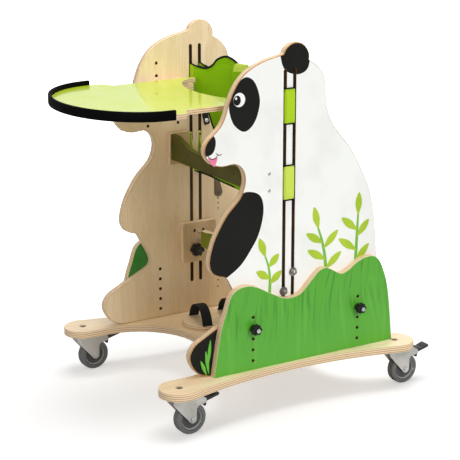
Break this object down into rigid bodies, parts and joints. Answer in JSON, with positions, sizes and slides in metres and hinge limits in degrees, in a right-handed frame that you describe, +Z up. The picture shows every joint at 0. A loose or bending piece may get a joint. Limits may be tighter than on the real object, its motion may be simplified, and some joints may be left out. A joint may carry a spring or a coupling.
{
  "type": "child's standing frame",
  "caption": "Wooden standing frame for a child: two bear-shaped sides on a castor base, with a sliding tray, chest and hip belts, a knee support and foot straps.",
  "frame": {"origin": "on the floor under the middle of the frame's outer box", "axes": "+Z up, the child faces -Y towards the tray, +X to the child's left"},
  "size_m": [0.616, 0.918, 0.918],
  "materials": {
    "panel_white": "white laminate outside, clear birch veneer inside, bare layered edge",
    "grass_green": "green printed laminate on birch plywood",
    "birch": "clear-coated birch plywood",
    "tray_lime": "pale lime laminate, satin",
    "board_lime": "lime green laminate",
    "trim_black": "soft black edge moulding",
    "belt_lime": "padded knitted fabric with black piping",
    "webbing_black": "woven black webbing",
    "knob_black": "moulded black plastic",
    "zinc": "bright zinc-plated steel",
    "dark_steel": "blackened steel",
    "hub_grey": "grey moulded plastic",
    "tyre_grey": "grey non-marking rubber"
  },
  "bodies": {
    "frame": {"base_board": "birch", "board_screws": "zinc", "castor_bolts": "dark_steel", "side_panel_left": "panel_white", "side_panel_right": "panel_white", "grass_board_left": "grass_green", "grass_board_right": "grass_green", "anchor_tabs": "webbing_black", "anchor_rings": "zinc", "tray_rail_left": "birch", "tray_rail_right": "birch", "hip_block_left": "birch", "hip_block_right": "birch", "hip_board": "board_lime", "hip_screws": "zinc", "foot_plate_left": "birch", "foot_plate_right": "birch", "foot_straps_left": "webbing_black", "foot_straps_right": "webbing_black"},
    "tray": {"tray_board": "tray_lime", "tray_trim": "trim_black"},
    "tray_knob_left": {"tray_knob_left": "knob_black"},
    "tray_knob_right": {"tray_knob_right": "knob_black"},
    "chest_belt": {"chest_belt_left": "belt_lime", "chest_belt_right": "belt_lime"},
    "hip_belt": {"hip_belt_left": "belt_lime", "hip_belt_right": "belt_lime"},
    "knee_carriage": {"knee_plate_left": "birch", "knee_plate_right": "birch", "knee_board": "board_lime", "knee_pins": "zinc", "knee_nuts": "zinc", "knee_pad": "belt_lime"},
    "knee_knob_left": {"knee_knob_left": "knob_black"},
    "knee_knob_right": {"knee_knob_right": "knob_black"},
    "panel_knob_fl": {"panel_knob_fl": "knob_black"},
    "panel_knob_fr": {"panel_knob_fr": "knob_black"},
    "panel_knob_rl": {"panel_knob_rl": "knob_black"},
    "panel_knob_rr": {"panel_knob_rr": "knob_black"},
    "castor_fl": {"castor_fl_fork": "zinc", "castor_fl_axle": "zinc"},
    "wheel_fl": {"castor_fl_hub": "hub_grey", "castor_fl_tyre": "tyre_grey"},
    "pedal_fl": {"castor_fl_pedal": "zinc"},
    "castor_fr": {"castor_fr_fork": "zinc", "castor_fr_axle": "zinc"},
    "wheel_fr": {"castor_fr_hub": "hub_grey", "castor_fr_tyre": "tyre_grey"},
    "pedal_fr": {"castor_fr_pedal": "zinc"},
    "castor_rl": {"castor_rl_fork": "zinc", "castor_rl_axle": "zinc"},
    "wheel_rl": {"castor_rl_hub": "hub_grey", "castor_rl_tyre": "tyre_grey"},
    "pedal_rl": {"castor_rl_pedal": "zinc"},
    "castor_rr": {"castor_rr_fork": "zinc", "castor_rr_axle": "zinc"},
    "wheel_rr": {"castor_rr_hub": "hub_grey", "castor_rr_tyre": "tyre_grey"},
    "pedal_rr": {"castor_rr_pedal": "zinc"}
  },
  "joints": [
    {"name": "tray_slide", "type": "slide", "parent": "frame", "child": "tray", "axis": [0, -1, 0], "range_m": [0, 0.064]},
    {"name": "tray_knob_left_turn", "type": "hinge", "parent": "tray", "child": "tray_knob_left", "pos_m": [0.177, -0.017, 0.75], "axis": [0, 0, 1], "continuous": true},
    {"name": "tray_knob_right_turn", "type": "hinge", "parent": "tray", "child": "tray_knob_right", "pos_m": [-0.177, -0.017, 0.75], "axis": [0, 0, 1], "continuous": true},
    {"name": "chest_belt_slide", "type": "slide", "parent": "frame", "child": "chest_belt", "axis": [0, 0, 1], "range_m": [-0.03, 0.03]},
    {"name": "hip_belt_slide", "type": "slide", "parent": "frame", "child": "hip_belt", "axis": [0, 0, 1], "range_m": [-0.04, 0.012]},
    {"name": "knee_slide", "type": "slide", "parent": "frame", "child": "knee_carriage", "axis": [0, 0, 1], "range_m": [0, 0.12]},
    {"name": "knee_knob_left_turn", "type": "hinge", "parent": "knee_carriage", "child": "knee_knob_left", "pos_m": [0.19, 0.0235, 0.304], "axis": [1, 0, 0], "continuous": true},
    {"name": "knee_knob_right_turn", "type": "hinge", "parent": "knee_carriage", "child": "knee_knob_right", "pos_m": [-0.19, 0.0235, 0.304], "axis": [1, 0, 0], "continuous": true},
    {"name": "panel_knob_fl_turn", "type": "hinge", "parent": "frame", "child": "panel_knob_fl", "pos_m": [0.255, -0.075, 0.23], "axis": [1, 0, 0], "continuous": true},
    {"name": "panel_knob_fr_turn", "type": "hinge", "parent": "frame", "child": "panel_knob_fr", "pos_m": [-0.255, -0.075, 0.23], "axis": [1, 0, 0], "continuous": true},
    {"name": "panel_knob_rl_turn", "type": "hinge", "parent": "frame", "child": "panel_knob_rl", "pos_m": [0.255, 0.239, 0.23], "axis": [1, 0, 0], "continuous": true},
    {"name": "panel_knob_rr_turn", "type": "hinge", "parent": "frame", "child": "panel_knob_rr", "pos_m": [-0.255, 0.239, 0.23], "axis": [1, 0, 0], "continuous": true},
    {"name": "swivel_fl", "type": "hinge", "parent": "frame", "child": "castor_fl", "pos_m": [0.258, -0.288, 0.09], "axis": [0, 0, 1], "continuous": true},
    {"name": "wheel_fl_spin", "type": "hinge", "parent": "castor_fl", "child": "wheel_fl", "pos_m": [0.258, -0.26, 0.04], "axis": [1, 0, 0], "continuous": true},
    {"name": "brake_fl_press", "type": "hinge", "parent": "castor_fl", "child": "pedal_fl", "pos_m": [0.258, -0.23, 0.082], "axis": [-1, 0, 0], "range_deg": [0, 12]},
    {"name": "swivel_fr", "type": "hinge", "parent": "frame", "child": "castor_fr", "pos_m": [-0.258, -0.288, 0.09], "axis": [0, 0, 1], "continuous": true},
    {"name": "wheel_fr_spin", "type": "hinge", "parent": "castor_fr", "child": "wheel_fr", "pos_m": [-0.258, -0.26, 0.04], "axis": [1, 0, 0], "continuous": true},
    {"name": "brake_fr_press", "type": "hinge", "parent": "castor_fr", "child": "pedal_fr", "pos_m": [-0.258, -0.23, 0.082], "axis": [-1, 0, 0], "range_deg": [0, 12]},
    {"name": "swivel_rl", "type": "hinge", "parent": "frame", "child": "castor_rl", "pos_m": [0.258, 0.354, 0.09], "axis": [0, 0, 1], "continuous": true},
    {"name": "wheel_rl_spin", "type": "hinge", "parent": "castor_rl", "child": "wheel_rl", "pos_m": [0.258, 0.382, 0.04], "axis": [1, 0, 0], "continuous": true},
    {"name": "brake_rl_press", "type": "hinge", "parent": "castor_rl", "child": "pedal_rl", "pos_m": [0.258, 0.412, 0.082], "axis": [-1, 0, 0], "range_deg": [0, 12]},
    {"name": "swivel_rr", "type": "hinge", "parent": "frame", "child": "castor_rr", "pos_m": [-0.258, 0.354, 0.09], "axis": [0, 0, 1], "continuous": true},
    {"name": "wheel_rr_spin", "type": "hinge", "parent": "castor_rr", "child": "wheel_rr", "pos_m": [-0.258, 0.382, 0.04], "axis": [1, 0, 0], "continuous": true},
    {"name": "brake_rr_press", "type": "hinge", "parent": "castor_rr", "child": "pedal_rr", "pos_m": [-0.258, 0.412, 0.082], "axis": [-1, 0, 0], "range_deg": [0, 12]}
  ]
}
